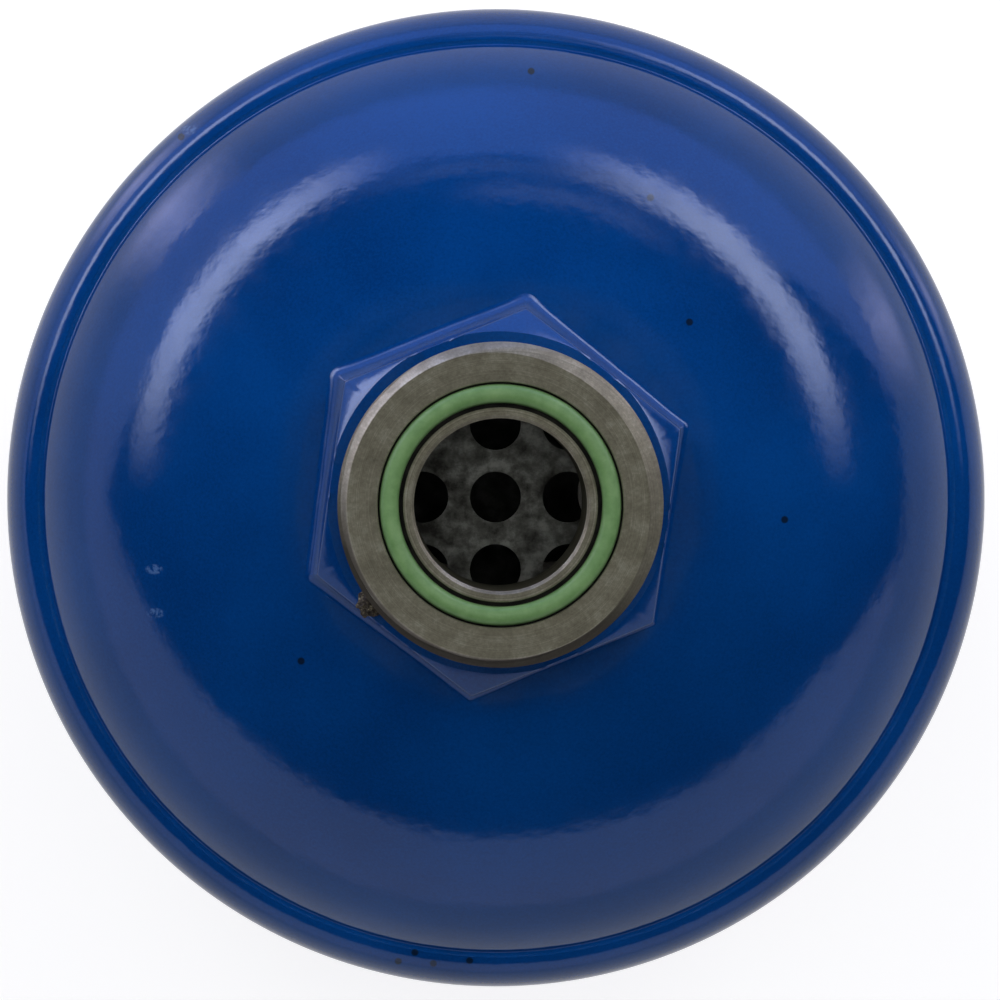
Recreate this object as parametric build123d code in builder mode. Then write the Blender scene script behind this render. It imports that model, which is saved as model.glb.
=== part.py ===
from build123d import *
from math import acos, asin, atan, cos, degrees, radians, sin, sqrt, tan
import os

# A hermetic liquid-line filter drier for a refrigeration circuit.  A drawn steel shell
# is spun over two domed end caps, and a face-seal flare-nut fitting is brazed on each
# cap.  Inside, a spring pushes a moulded desiccant core and its filter pads against a
# perforated plate at the outlet.
#
# Millimetres, +Z up along the axis.  The drier stands on the O-ring of its outlet
# fitting, which touches z = 0, and its inlet is at the top.

os.makedirs("parts", exist_ok=True)

# --- Shell and end caps -----------------------------------------------------------
shell_diameter = 95.0  # outside of the straight shell
shell_wall = 1.6
shell_length = 130.0  # straight part, between the two spun shoulders
crown_radius = 55.0  # outside of the cap's shallow crown
knuckle_radius = 18.0  # outside of the cap's tight outer bend
cap_wall = 1.6
cap_skirt = 12.0  # how far the cap's straight skirt goes down inside the shell
cap_gap = 0.1  # between the cap and the shell that is spun over it
spin_angle = 28.5  # how far the shell's end is spun round the knuckle, in degrees
lip_wall = 0.3  # left at the spun lip's edge
lip_round = 5.8  # the lip's outside, from the straight shell to that edge
seam_leg = 0.35  # leg of the small seam weld in the crease
land_margin = 1.15  # flat land outside the braze at the hexagon's corners
land_blend = 9.0  # eases the cap's crown into its flat land

# --- Fittings: 1-3/16-12 UN male face seal, for 3/4 inch tube ---------------------
thread_diameter = 30.16
thread_length = 16.0  # from the hexagon to the sealing face, relief included
thread_relief = 2.4
relief_diameter = 27.0
face_diameter = 28.4  # flat sealing face inside the thread's lead chamfer
lead_angle = 40.0  # of the thread's lead chamfer, measured from the sealing face
port_diameter = 16.0
port_break = 0.3  # on the port's mouth
hex_across_flats = 32.0
hex_height = 9.43
hex_turn = 21.9  # one corner of the hexagon, in degrees from +X
hex_chamfer_angle = 38.0
hex_face_share = 1.005  # turned face circle of the hexagon over its flats
turning_margin = 1.0  # how far the chamfer's cut runs out past the corners
spigot_diameter = 22.0
spigot_gap = 0.1  # round the spigot, in the cap's hole
spigot_reach = 1.5  # past the inner side of the cap
braze_leg = 1.0  # braze fillet on the cap, round the hexagon
braze_height = 0.8
braze_top = 0.2  # width that the fillet keeps at its top

# --- O-ring and its groove --------------------------------------------------------
o_ring_inside = 18.77
o_ring_section = 1.78
o_ring_proud = 0.45  # above the sealing face
groove_inside = 18.3
groove_outside = 22.7

# --- What the shell holds ---------------------------------------------------------
inside_gap = 0.2  # round each plate and screen in the shell
pad_gap = 0.4  # round each soft pad in the shell
plate_wall = 1.2
plate_bend = 2.0  # inside radius of the plates' bends
spring_diameter = 46.0  # mean diameter
spring_space = 34.0  # fitted length of the spring
wire_diameter = 4.0
spring_turns = 3.6
pocket_gap = 0.8  # round the spring, in the inlet plate's pocket
pocket_depth = 8.0
hole_diameter = 5.0
hole_pitch = 7.1
hole_margin = 0.5  # between the outermost holes and the pocket's bend
pressure_rim = 6.0  # height of the pressure plate's turned-up rim
pressure_hole_diameter = 8.0
inner_ring_holes = 6  # inside the spring
ring_gap = 4.4  # between those holes and the spring
outer_ring_holes = 12  # outside the spring
inlet_pad_height = 5.0
core_chamfer = 2.0
core_well_diameter = 18.0  # blind well moulded in the core's outlet end
core_well_depth = 34.0
core_well_draft = 2.0  # in degrees
side_seal_wall = 2.8  # felt band round the core
side_seal_height = 22.0
side_seal_gap = 0.2  # between the core and its felt band
gasket_width = 10.5
gasket_height = 2.0
outlet_pad_height = 8.0
mesh_height = 0.6
outlet_plate_wall = 1.5
outlet_hole_diameter = 8.0
outlet_hole_pitch = 11.0
outlet_plate_rim = 4.7  # solid rim outside the holes

# --- Places worked out from the sizes above ---------------------------------------
shell_radius = shell_diameter / 2
bore_radius = shell_radius - shell_wall
cap_radius = bore_radius - cap_gap
knuckle_centre = cap_radius - knuckle_radius
crown_offset = crown_radius - knuckle_radius
crown_centre = -sqrt(crown_offset**2 - knuckle_centre**2)
tangent_angle = 90 - degrees(asin(knuckle_centre / crown_offset))

hex_radius = hex_across_flats / 2
hex_corner = hex_radius / cos(radians(30))
land_radius = hex_corner + braze_leg + land_margin
land_height = crown_centre + sqrt(crown_radius**2 - land_radius**2)
land_angle = 90 - degrees(asin(land_radius / crown_radius))
hex_top = land_height + hex_height
fitting_reach = hex_top + thread_length  # from the shell's straight end to the face
o_ring_radius = (o_ring_inside + o_ring_section) / 2
o_ring_height = fitting_reach + o_ring_proud - o_ring_section / 2

middle = shell_length / 2 + fitting_reach + o_ring_proud
inlet_frame = Plane(origin=(0, 0, middle + shell_length / 2), x_dir=(1, 0, 0), z_dir=(0, 0, 1))
outlet_frame = Plane(origin=(0, 0, middle - shell_length / 2), x_dir=(1, 0, 0), z_dir=(0, 0, -1))

# Heights of the stack inside, from the outlet cap's skirt up to the inlet cap's.
outlet_plate_base = outlet_frame.origin.Z + cap_skirt
mesh_base = outlet_plate_base + outlet_plate_wall
outlet_pad_base = mesh_base + mesh_height
gasket_base = outlet_pad_base + outlet_pad_height
core_base = gasket_base + gasket_height
inlet_plate_top = inlet_frame.origin.Z - cap_skirt
spring_top = inlet_plate_top + pocket_depth - plate_wall
spring_base = spring_top - spring_space
inlet_pad_base = spring_base - plate_wall - inlet_pad_height
core_height = inlet_pad_base - core_base

# Radii of what the shell holds, from the shell's bore inwards.
plate_radius = bore_radius - inside_gap
pad_radius = bore_radius - pad_gap
core_radius = pad_radius - side_seal_wall - side_seal_gap
pocket_radius = (spring_diameter + wire_diameter) / 2 + pocket_gap + plate_wall


def half_section(frame):
    """The plane of a turned profile: x is the radius and y the height over the frame."""
    return Plane(origin=frame.origin, x_dir=frame.x_dir, z_dir=-frame.y_dir)


def holes_in_square_rows(pitch, reach):
    """Places in square rows about the axis whose centres lie within the given reach."""
    rows = 1 + 2 * int(reach / pitch)
    places = GridLocations(pitch, pitch, rows, rows).local_locations
    return [place for place in places if place.position.length <= reach]


# --- Shell: one drawn tube, its two ends spun in over the caps ----------------------
with BuildPart() as shell_tube:
    for frame in (inlet_frame, outlet_frame):
        with BuildSketch(half_section(frame)):
            with BuildLine():
                inside = CenterArc(
                    (knuckle_centre, 0), bore_radius - knuckle_centre, 0, spin_angle
                )
                lip_edge = PolarLine(inside @ 1, lip_wall, spin_angle)
                lip_across = (lip_edge @ 1).X - (shell_radius - lip_round)
                lip_sweep = degrees(acos(lip_across / lip_round))
                lip_centre = (lip_edge @ 1).Y - sqrt(lip_round**2 - lip_across**2)
                outside = CenterArc(
                    (shell_radius - lip_round, lip_centre), lip_round, 0, lip_sweep
                )
                Polyline(
                    outside @ 0,
                    (shell_radius, -shell_length / 2),
                    (bore_radius, -shell_length / 2),
                    inside @ 0,
                )
            make_face()
        revolve(axis=Axis.Z)
shell_tube.part.label = "shell_tube"
export_step(shell_tube.part, "parts/shell_tube.step")

for end, frame in (("inlet", inlet_frame), ("outlet", outlet_frame)):
    section = half_section(frame)

    # --- End cap: pressed dome with a flat land for the fitting and a straight skirt ---
    inner_top = land_height - cap_wall
    inner_land_radius = sqrt((crown_radius - cap_wall) ** 2 - (inner_top - crown_centre) ** 2)
    inner_land_angle = 90 - degrees(asin(inner_land_radius / (crown_radius - cap_wall)))
    hole_radius = spigot_diameter / 2 + spigot_gap
    with BuildPart() as end_cap:
        with BuildSketch(section):
            with BuildLine():
                land = Line((hole_radius, land_height), (land_radius, land_height))
                CenterArc(
                    (0, crown_centre), crown_radius, land_angle, tangent_angle - land_angle
                )
                CenterArc((knuckle_centre, 0), knuckle_radius, 0, tangent_angle)
                Polyline(
                    (cap_radius, 0),
                    (cap_radius, -cap_skirt),
                    (cap_radius - cap_wall, -cap_skirt),
                    (cap_radius - cap_wall, 0),
                )
                CenterArc((knuckle_centre, 0), knuckle_radius - cap_wall, 0, tangent_angle)
                inner_crown = CenterArc(
                    (0, crown_centre),
                    crown_radius - cap_wall,
                    tangent_angle,
                    inner_land_angle - tangent_angle,
                )
                Polyline(inner_crown @ 1, (hole_radius, inner_top), land @ 0)
            make_face()
        revolve(axis=Axis.Z)
        land_edge = end_cap.edges().filter_by(GeomType.CIRCLE).filter_by(
            lambda edge: abs(edge.radius - land_radius) < cap_wall / 100
        )
        fillet(land_edge, radius=land_blend)
    end_cap.part.label = f"{end}_end_cap"
    export_step(end_cap.part, f"parts/{end}_end_cap.step")

    # --- Seam weld: a small bead in the crease between the spun lip and the cap --------
    with BuildPart() as seam_weld:
        with BuildSketch(section):
            with BuildLine():
                seat = CenterArc(
                    (knuckle_centre, 0),
                    knuckle_radius,
                    spin_angle,
                    degrees(seam_leg / knuckle_radius),
                )
                lip_side = PolarLine(seat @ 0, cap_gap + seam_leg, spin_angle)
                Line(seat @ 1, lip_side @ 1)
            make_face()
        revolve(axis=Axis.Z)
    seam_weld.part.label = f"{end}_seam_weld"
    export_step(seam_weld.part, f"parts/{end}_seam_weld.step")

    # --- Fitting: turned from hexagon bar, with a face seal and a male thread ----------
    thread_radius = thread_diameter / 2
    lead_height = (thread_diameter - face_diameter) / 2 * tan(radians(lead_angle))
    relief_depth = (thread_diameter - relief_diameter) / 2
    face_circle = hex_radius * hex_face_share
    turning_radius = hex_corner + turning_margin
    turning_drop = (turning_radius - face_circle) * tan(radians(hex_chamfer_angle))
    with BuildPart() as fitting:
        with BuildSketch(frame.offset(land_height)):
            RegularPolygon(hex_radius, 6, major_radius=False, rotation=hex_turn)
        extrude(amount=hex_top - land_height)
        with BuildSketch(section):
            Polygon(
                (0, land_height),
                (turning_radius, land_height),
                (turning_radius, hex_top - turning_drop),
                (face_circle, hex_top),
                (0, hex_top),
                align=None,
            )
        revolve(axis=Axis.Z, mode=Mode.INTERSECT)
        with BuildSketch(section):
            Polygon(
                (0, land_height - cap_wall - spigot_reach),
                (spigot_diameter / 2, land_height - cap_wall - spigot_reach),
                (spigot_diameter / 2, land_height),
                (relief_diameter / 2, land_height + relief_depth),
                (relief_diameter / 2, hex_top + thread_relief - relief_depth),
                (thread_radius, hex_top + thread_relief),
                (thread_radius, fitting_reach - lead_height),
                (face_diameter / 2, fitting_reach),
                (0, fitting_reach),
                align=None,
            )
        revolve(axis=Axis.Z)
        with BuildSketch(section):
            with Locations((groove_inside / 2, fitting_reach)):
                Rectangle(
                    (groove_outside - groove_inside) / 2,
                    o_ring_section - o_ring_proud,
                    align=(Align.MIN, Align.MAX),
                )
        revolve(axis=Axis.Z, mode=Mode.SUBTRACT)
        with Locations(frame.offset(fitting_reach)):
            CounterSinkHole(
                port_diameter / 2, port_diameter / 2 + port_break, counter_sink_angle=90
            )
    fitting.part.label = f"{end}_fitting"
    export_step(fitting.part, f"parts/{end}_fitting.step")

    # --- Braze: a fillet of filler that runs round the foot of the hexagon -------------
    with BuildPart() as fitting_braze:
        with BuildSketch(frame.offset(land_height)):
            RegularPolygon(hex_radius, 6, major_radius=False, rotation=hex_turn)
            offset(amount=braze_leg, kind=Kind.ARC)
        extrude(amount=braze_height, taper=degrees(atan((braze_leg - braze_top) / braze_height)))
        with BuildSketch(frame.offset(land_height)):
            RegularPolygon(hex_radius, 6, major_radius=False, rotation=hex_turn)
        extrude(amount=braze_height, mode=Mode.SUBTRACT)
    fitting_braze.part.label = f"{end}_fitting_braze"
    export_step(fitting_braze.part, f"parts/{end}_fitting_braze.step")

    # --- O-ring: sits in the face groove and stands a little proud of it ---------------
    with BuildPart() as o_ring:
        with BuildSketch(section):
            with Locations((o_ring_radius, o_ring_height)):
                Circle(o_ring_section / 2)
        revolve(axis=Axis.Z)
    o_ring.part.label = f"{end}_o_ring"
    export_step(o_ring.part, f"parts/{end}_o_ring.step")

# --- Inlet plate: perforated spring seat, pushed against the inlet cap's skirt --------
perforated_reach = pocket_radius - plate_wall - plate_bend - hole_margin - hole_diameter / 2
with BuildPart() as inlet_perforated_plate:
    with BuildSketch(half_section(Plane.XY.offset(inlet_plate_top))):
        with BuildLine():
            upper = FilletPolyline(
                (0, pocket_depth),
                (pocket_radius, pocket_depth),
                (pocket_radius, 0),
                (plate_radius, 0),
                radius=plate_bend,
            )
            offset(upper, amount=plate_wall, side=Side.RIGHT)
        make_face()
    revolve(axis=Axis.Z)
    with BuildSketch(Plane.XY.offset(inlet_plate_top + pocket_depth)):
        with Locations(*holes_in_square_rows(hole_pitch, perforated_reach)):
            Circle(hole_diameter / 2)
    extrude(amount=-plate_wall, mode=Mode.SUBTRACT)
inlet_perforated_plate.part.label = "inlet_perforated_plate"
export_step(inlet_perforated_plate.part, "parts/inlet_perforated_plate.step")

# --- Spring: open coils with both ends ground flat -------------------------------------
end_sink = 0.35 * wire_diameter  # how much of the wire the grinding takes off
helix_start = spring_base + wire_diameter / 2 - end_sink
helix_height = spring_space - wire_diameter + 2 * end_sink
with BuildPart() as compression_spring:
    with BuildLine():
        coil = Helix(
            pitch=helix_height / spring_turns,
            height=helix_height,
            radius=spring_diameter / 2,
            center=(0, 0, helix_start),
        )
    with BuildSketch(Plane(origin=coil @ 0, z_dir=coil % 0)):
        Circle(wire_diameter / 2)
    sweep(is_frenet=True)
    split(bisect_by=Plane.XY.offset(spring_base), keep=Keep.TOP)
    split(bisect_by=Plane.XY.offset(spring_top), keep=Keep.BOTTOM)
compression_spring.part.label = "compression_spring"
export_step(compression_spring.part, "parts/compression_spring.step")

# --- Pressure plate: carries the spring's push to the core ------------------------------
spring_inside = (spring_diameter - wire_diameter) / 2
spring_outside = (spring_diameter + wire_diameter) / 2
rim_inside = plate_radius - plate_wall - plate_bend
inner_ring = spring_inside - ring_gap - pressure_hole_diameter / 2
outer_ring = (spring_outside + rim_inside) / 2
with BuildPart() as pressure_plate:
    with BuildSketch(half_section(Plane.XY.offset(spring_base))):
        with BuildLine():
            lower = FilletPolyline(
                (0, -plate_wall),
                (plate_radius, -plate_wall),
                (plate_radius, pressure_rim - plate_wall),
                radius=plate_bend + plate_wall,
            )
            offset(lower, amount=plate_wall, side=Side.LEFT)
        make_face()
    revolve(axis=Axis.Z)
    with BuildSketch(Plane.XY.offset(spring_base)):
        for ring_radius, count in ((inner_ring, inner_ring_holes), (outer_ring, outer_ring_holes)):
            with PolarLocations(ring_radius, count):
                Circle(pressure_hole_diameter / 2)
    extrude(amount=-plate_wall, mode=Mode.SUBTRACT)
pressure_plate.part.label = "pressure_plate"
export_step(pressure_plate.part, "parts/pressure_plate.step")

# --- Inlet filter pad: felt that spreads the flow over the core -------------------------
with BuildPart() as inlet_filter_pad:
    with BuildSketch(Plane.XY.offset(inlet_pad_base)):
        Circle(pad_radius)
    extrude(amount=inlet_pad_height)
    fillet(inlet_filter_pad.edges(), radius=inlet_pad_height / 4)
inlet_filter_pad.part.label = "inlet_filter_pad"
export_step(inlet_filter_pad.part, "parts/inlet_filter_pad.step")

# --- Desiccant core: one moulded porous block with a blind well in its outlet end -------
with BuildPart() as desiccant_core:
    with BuildSketch(Plane.XY.offset(core_base)):
        Circle(core_radius)
    extrude(amount=core_height)
    chamfer(desiccant_core.edges(), length=core_chamfer)
    with BuildSketch(Plane.XY.offset(core_base)):
        Circle(core_well_diameter / 2)
    extrude(amount=core_well_depth, taper=core_well_draft, mode=Mode.SUBTRACT)
desiccant_core.part.label = "desiccant_core"
export_step(desiccant_core.part, "parts/desiccant_core.step")

# --- Side seal: felt band that stops flow past the core ---------------------------------
with BuildPart() as core_side_seal:
    with BuildSketch(Plane.XY.offset(core_base)):
        Circle(pad_radius)
        Circle(core_radius + side_seal_gap, mode=Mode.SUBTRACT)
    extrude(amount=side_seal_height)
core_side_seal.part.label = "core_side_seal"
export_step(core_side_seal.part, "parts/core_side_seal.step")

# --- Core gasket: fibre ring under the core's rim ----------------------------------------
with BuildPart() as core_gasket:
    with BuildSketch(Plane.XY.offset(gasket_base)):
        Circle(pad_radius)
        Circle(pad_radius - gasket_width, mode=Mode.SUBTRACT)
    extrude(amount=gasket_height)
core_gasket.part.label = "core_gasket"
export_step(core_gasket.part, "parts/core_gasket.step")

# --- Outlet filter pad: thick polyester felt that catches the finest dirt ----------------
with BuildPart() as outlet_filter_pad:
    with BuildSketch(Plane.XY.offset(outlet_pad_base)):
        Circle(pad_radius)
    extrude(amount=outlet_pad_height)
    fillet(outlet_filter_pad.edges(), radius=outlet_pad_height / 4)
outlet_filter_pad.part.label = "outlet_filter_pad"
export_step(outlet_filter_pad.part, "parts/outlet_filter_pad.step")

# --- Outlet screen: disc of fine woven wire cloth ----------------------------------------
with BuildPart() as outlet_mesh_screen:
    with BuildSketch(Plane.XY.offset(mesh_base)):
        Circle(plate_radius)
    extrude(amount=mesh_height)
outlet_mesh_screen.part.label = "outlet_mesh_screen"
export_step(outlet_mesh_screen.part, "parts/outlet_mesh_screen.step")

# --- Outlet plate: perforated disc that rests on the outlet cap's skirt ------------------
outlet_reach = plate_radius - outlet_plate_rim - outlet_hole_diameter / 2
with BuildPart() as outlet_perforated_plate:
    with BuildSketch(Plane.XY.offset(outlet_plate_base)):
        Circle(plate_radius)
        with Locations(*holes_in_square_rows(outlet_hole_pitch, outlet_reach)):
            Circle(outlet_hole_diameter / 2, mode=Mode.SUBTRACT)
    extrude(amount=outlet_plate_wall)
outlet_perforated_plate.part.label = "outlet_perforated_plate"
export_step(outlet_perforated_plate.part, "parts/outlet_perforated_plate.step")
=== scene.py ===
# A hermetic filter drier for a refrigeration liquid line: an enamelled steel shell with
# two domed caps, a face-seal fitting brazed on each cap, and the sprung desiccant core
# that they close in.  It stands on its outlet fitting, with the inlet at the top.
from math import acos, asin, atan2, cos, hypot, pi, radians, sin, sqrt, tan

import bmesh
import bpy
from mathutils import Matrix, Vector, noise


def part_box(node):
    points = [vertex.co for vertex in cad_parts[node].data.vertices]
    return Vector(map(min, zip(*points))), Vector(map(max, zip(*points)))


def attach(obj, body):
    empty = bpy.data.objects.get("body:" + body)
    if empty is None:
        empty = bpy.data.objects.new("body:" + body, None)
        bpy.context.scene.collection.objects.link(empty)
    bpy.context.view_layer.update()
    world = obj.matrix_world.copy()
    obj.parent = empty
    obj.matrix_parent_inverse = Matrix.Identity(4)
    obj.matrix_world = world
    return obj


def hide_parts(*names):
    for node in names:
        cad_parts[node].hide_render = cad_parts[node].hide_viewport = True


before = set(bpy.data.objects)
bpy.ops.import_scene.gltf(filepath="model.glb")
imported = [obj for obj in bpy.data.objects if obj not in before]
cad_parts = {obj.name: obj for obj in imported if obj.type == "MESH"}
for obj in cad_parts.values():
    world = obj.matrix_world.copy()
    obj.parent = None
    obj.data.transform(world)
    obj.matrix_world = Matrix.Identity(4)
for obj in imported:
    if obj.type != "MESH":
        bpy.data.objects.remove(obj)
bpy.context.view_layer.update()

# ---------------------------------------------------------------------------------------
# Shell tube: a drawn steel tube whose two ends are spun in over the knuckles of the caps,
# which rounds each lip's outside down to a thin edge.  It is 1.6 mm sheet, sprayed with
# gloss blue enamel after the welding.  Outlines are drawn in millimetres.
MM = 0.001
SHELL_WALL = 1.6
KNUCKLE_RADIUS = 18.0
CAP_GAP = 0.1
SPIN_ANGLE = radians(28.5)  # of the solid's lip, whose top is the top of its box
LIP_ANGLE = radians(25.8)  # of the lip's real edge, set back a little by the welding
LIP_WALL = 0.3  # left at the lip's edge
LIP_ROUND = 5.8  # the lip's outside, from the straight shell to that edge
TURNS = 288  # steps round a turned piece
WELDED = 1e-4  # vertices nearer than this are one


def box_of(node):
    """Lowest and highest corner of a CAD node, in millimetres."""
    low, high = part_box(node)
    return Vector(low) / MM, Vector(high) / MM


shell_low, shell_high = box_of("shell_tube")
shell_radius = shell_high.x
bore_radius = shell_radius - SHELL_WALL
cap_radius = bore_radius - CAP_GAP
knuckle_centre = cap_radius - KNUCKLE_RADIUS
edge_reach = bore_radius - knuckle_centre + LIP_WALL
lip_edge = (knuckle_centre + edge_reach * cos(LIP_ANGLE), edge_reach * sin(LIP_ANGLE))
lip_centre = shell_radius - LIP_ROUND
lip_turn = acos((lip_edge[0] - lip_centre) / LIP_ROUND)
lip_height = lip_edge[1] - LIP_ROUND * sin(lip_turn)
lip_rise = edge_reach * sin(SPIN_ANGLE)
middle = (shell_low.z + shell_high.z) / 2
half_length = shell_high.z - lip_rise - middle  # to the end of the straight tube


def start_outline(radius, height):
    """Begin the half-section of a turned piece at one point."""
    section = bmesh.new()
    return section, section.verts.new((radius, 0, height))


def line_to(section, vert, *points):
    """Draw straight lines of the half-section through (radius, height) points."""
    for radius, height in points:
        vert = bmesh.ops.extrude_vert_indiv(section, verts=[vert])["verts"][0]
        vert.co = (radius, 0, height)
    return vert


def kind_of(geometry, kind):
    """The vertices, the edges or the faces of what an operator made."""
    return [part for part in geometry if isinstance(part, kind)]


def arc_about(section, vert, centre, angle, steps):
    """Draw an arc of the half-section; a positive angle goes from the radius to the axis."""
    swept = bmesh.ops.spin(
        section, geom=[vert], cent=(centre[0], 0, centre[1]), axis=(0, -1, 0),
        angle=angle, steps=steps,
    )
    return kind_of(swept["geom_last"], bmesh.types.BMVert)[0]


def turn(section, steps=TURNS):
    """Spin the half-section once about the drier's axis."""
    bmesh.ops.spin(
        section, geom=section.verts[:] + section.edges[:], cent=(0, 0, 0), axis=(0, 0, 1),
        angle=2 * pi, steps=steps, use_merge=True,
    )


def turn_about(form, angle, axis="Z"):
    """Rotate a whole form about the drier's axis, or about another."""
    bmesh.ops.rotate(
        form, verts=form.verts, cent=(0, 0, 0), matrix=Matrix.Rotation(angle, 3, axis)
    )


def shift(form, x, y, z):
    """Move a whole form."""
    bmesh.ops.translate(form, verts=form.verts, vec=(x, y, z))


def finish_piece(form, name, node=None, materials=(), sharp=35, doubles=WELDED):
    """Make a form drawn in millimetres a piece in metres; sharp edges in degrees stay."""
    bmesh.ops.remove_doubles(form, verts=form.verts, dist=doubles)
    bmesh.ops.recalc_face_normals(form, faces=form.faces)
    bmesh.ops.scale(form, verts=form.verts, vec=(MM, MM, MM))
    mesh = bpy.data.meshes.new(name)
    form.to_mesh(mesh)
    form.free()
    mesh.polygons.foreach_set("use_smooth", [True] * len(mesh.polygons))
    mesh.set_sharp_from_angle(angle=radians(sharp))
    for material in materials:
        mesh.materials.append(material)
    piece = bpy.data.objects.new(name, mesh)
    bpy.context.scene.collection.objects.link(piece)
    if node:
        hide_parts(node)
    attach(piece, "root")
    return piece


def add_node(tree, kind, inputs=None, **settings):
    """Add a shader node, with values or links for its inputs."""
    fresh = tree.nodes.new(kind)
    for name, value in settings.items():
        setattr(fresh, name, value)
    for name, value in (inputs or {}).items():
        if isinstance(value, bpy.types.NodeSocket):
            tree.links.new(value, fresh.inputs[name])
        else:
            fresh.inputs[name].default_value = value
    return fresh


def calculate(tree, operation, *values):
    """The result of one Math node on numbers or sockets."""
    return add_node(
        tree, "ShaderNodeMath", dict(enumerate(values)), operation=operation
    ).outputs["Value"]


def vector_math(tree, operation, *values):
    """The vector, or the number, that one Vector Math node makes of its values."""
    outputs = add_node(
        tree, "ShaderNodeVectorMath", dict(enumerate(values)), operation=operation
    ).outputs
    return outputs["Value" if operation in ("LENGTH", "DOT_PRODUCT") else "Vector"]


def scaled(tree, vector, amount):
    """A vector or a colour times an amount."""
    return add_node(
        tree, "ShaderNodeVectorMath", {0: vector, "Scale": amount}, operation="SCALE"
    ).outputs["Vector"]


def new_finish(name, **values):
    """A Principled material, its tree and shader, and places on the piece in millimetres."""
    material = bpy.data.materials.new(name)
    material.use_nodes = True
    tree = material.node_tree
    shader = tree.nodes["Principled BSDF"]
    for socket, value in values.items():
        shader.inputs[socket.replace("_", " ")].default_value = value
    place = scaled(tree, add_node(tree, "ShaderNodeTexCoord").outputs["Object"], 1 / MM)
    return material, tree, shader, place


def grain(tree, place, size, detail=2.0, roughness=0.5):
    """Noise whose blotches are about as large as size, in millimetres."""
    return add_node(
        tree, "ShaderNodeTexNoise",
        {"Vector": place, "Scale": 1 / size, "Detail": detail, "Roughness": roughness},
    ).outputs["Fac"]


def spread(tree, value, low, high, start=0.3, stop=0.7):
    """Bring a value between start and stop to the range from low to high."""
    return add_node(
        tree, "ShaderNodeMapRange",
        {"Value": value, "From Min": start, "From Max": stop, "To Min": low, "To Max": high},
    ).outputs["Result"]


def blend(tree, *parts):
    """The sum of (value, share) parts."""
    total = 0.0
    for value, share in parts:
        total = calculate(tree, "MULTIPLY_ADD", value, share, total)
    return total


def shades(tree, value, *stops):
    """Colour ramp from (position, colour) stops."""
    fresh = add_node(tree, "ShaderNodeValToRGB", {"Fac": value})
    elements = fresh.color_ramp.elements
    while len(elements) < len(stops):
        elements.new(0.5)
    for element, (position, colour) in zip(elements, stops):
        element.position = position
        element.color = (*colour, 1.0)
    return fresh.outputs["Color"]


def colour_by(tree, shader, value, *stops):
    """Colour a surface by a value, along (position, colour) stops."""
    tree.links.new(shades(tree, value, *stops), shader.inputs["Base Color"])


def tinted(tree, amount, first, second):
    """Go from the first colour to the second by an amount from 0 to 1."""
    fresh = add_node(tree, "ShaderNodeMix", data_type="RGBA")
    for socket, value in zip([s for s in fresh.inputs if s.enabled], (amount, first, second)):
        if isinstance(value, bpy.types.NodeSocket):
            tree.links.new(value, socket)
        else:
            socket.default_value = (*value, 1.0)
    return next(s for s in fresh.outputs if s.enabled)


def from_axis(tree, place):
    """Distance of a place from the axis."""
    return vector_math(
        tree, "LENGTH", vector_math(tree, "MULTIPLY", place, (1.0, 1.0, 0.0))
    )


def marks(tree, place, centres, width, length):
    """1 inside small marks of a width and a length at (x, y) places, seen along the axis."""
    total = 0.0
    for x, y in centres:
        moved = add_node(
            tree, "ShaderNodeMapping",
            {"Vector": place, "Location": (x, y, 0.0), "Scale": (width, length, 1.0)},
            vector_type="TEXTURE",
        ).outputs["Vector"]
        mark = spread(tree, from_axis(tree, moved), 1.0, 0.0, start=0.35, stop=0.5)
        total = calculate(tree, "MAXIMUM", total, mark)
    return total


def bumped(tree, shader, *layers):
    """Raise the surface by (height, depth in millimetres, strength) layers, one on another."""
    below = None
    for height, depth, strength in layers:
        inputs = {"Height": height, "Distance": depth * MM, "Strength": strength}
        if below:
            inputs["Normal"] = below
        below = add_node(tree, "ShaderNodeBump", inputs).outputs["Normal"]
    tree.links.new(below, shader.inputs["Normal"])


ENAMEL_DEEP = (0.0004, 0.0265, 0.125)
ENAMEL_LIGHT = (0.0010, 0.0430, 0.192)
SPECK = (0.003, 0.010, 0.030)
SPECK_SIZE = 0.8
SPECKS = [(3.3, 41.2), (18.2, 17.0), (-18.7, -15.2), (27.3, -1.8), (-6.1, -45.0),
          (-7.9, -43.9), (-2.6, -44.7), (-9.5, -44.8), (-30.5, 35.0), (14.6, 28.9)]
SCUFF = (0.10, 0.20, 0.42)
SCUFF_SIZE = (1.9, 1.1)
SCUFFS = [(-32.7, -10.8), (-32.8, -6.6), (-29.7, 35.7)]


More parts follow.
